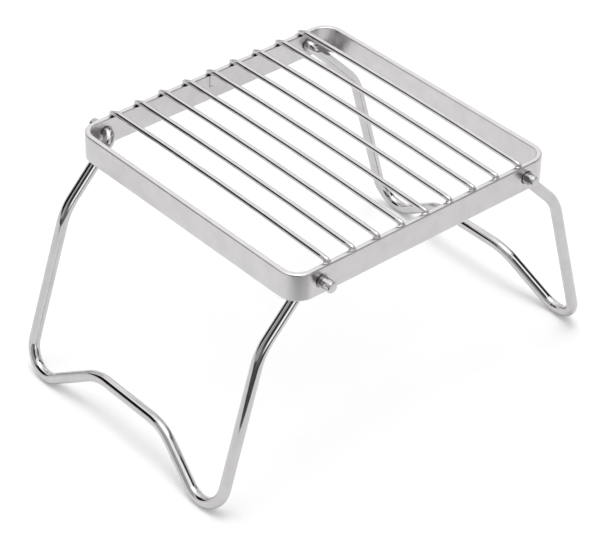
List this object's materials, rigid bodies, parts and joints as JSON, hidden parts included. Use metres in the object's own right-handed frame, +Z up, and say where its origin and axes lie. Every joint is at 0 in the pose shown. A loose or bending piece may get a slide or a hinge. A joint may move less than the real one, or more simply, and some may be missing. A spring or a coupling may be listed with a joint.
{
  "type": "portable folding grill",
  "caption": "Portable folding grill: a square flat-steel band carries a grid of round rods and stands on two bent-wire legs that fold up under it.",
  "frame": {"origin": "on the floor, below the centre of the grid, with the legs open", "axes": "+X from the left leg towards the right leg, across the rods; +Y along the rods, from the front side to the back side; +Z up"},
  "size_m": [0.2473, 0.1808, 0.1321],
  "materials": {
    "band_steel": "bright rolled stainless strip, lightly polished, satin to the touch",
    "grid_rod": "electropolished stainless rod, mirror bright",
    "leg_wire": "electropolished stainless wire, mirror bright",
    "weld_steel": "small dull resistance weld nuggets"
  },
  "bodies": {
    "grid_frame": {"frame_band": "band_steel", "grill_rod_1": "grid_rod", "grill_rod_2": "grid_rod", "grill_rod_3": "grid_rod", "grill_rod_4": "grid_rod", "grill_rod_5": "grid_rod", "grill_rod_6": "grid_rod", "grill_rod_7": "grid_rod", "grill_rod_8": "grid_rod", "grill_rod_9": "grid_rod", "front_weld_beads": "weld_steel", "back_weld_beads": "weld_steel"},
    "left_wire": {"left_leg": "leg_wire"},
    "right_wire": {"right_leg": "leg_wire"}
  },
  "joints": [
    {"name": "left_leg_hinge", "type": "hinge", "parent": "grid_frame", "child": "left_wire", "pos_m": [-0.0662, 0, 0.1199], "axis": [0, -1, 0], "range_deg": [0, 103]},
    {"name": "right_leg_hinge", "type": "hinge", "parent": "grid_frame", "child": "right_wire", "pos_m": [0.0662, 0, 0.1199], "axis": [0, 1, 0], "range_deg": [0, 116.5]}
  ]
}
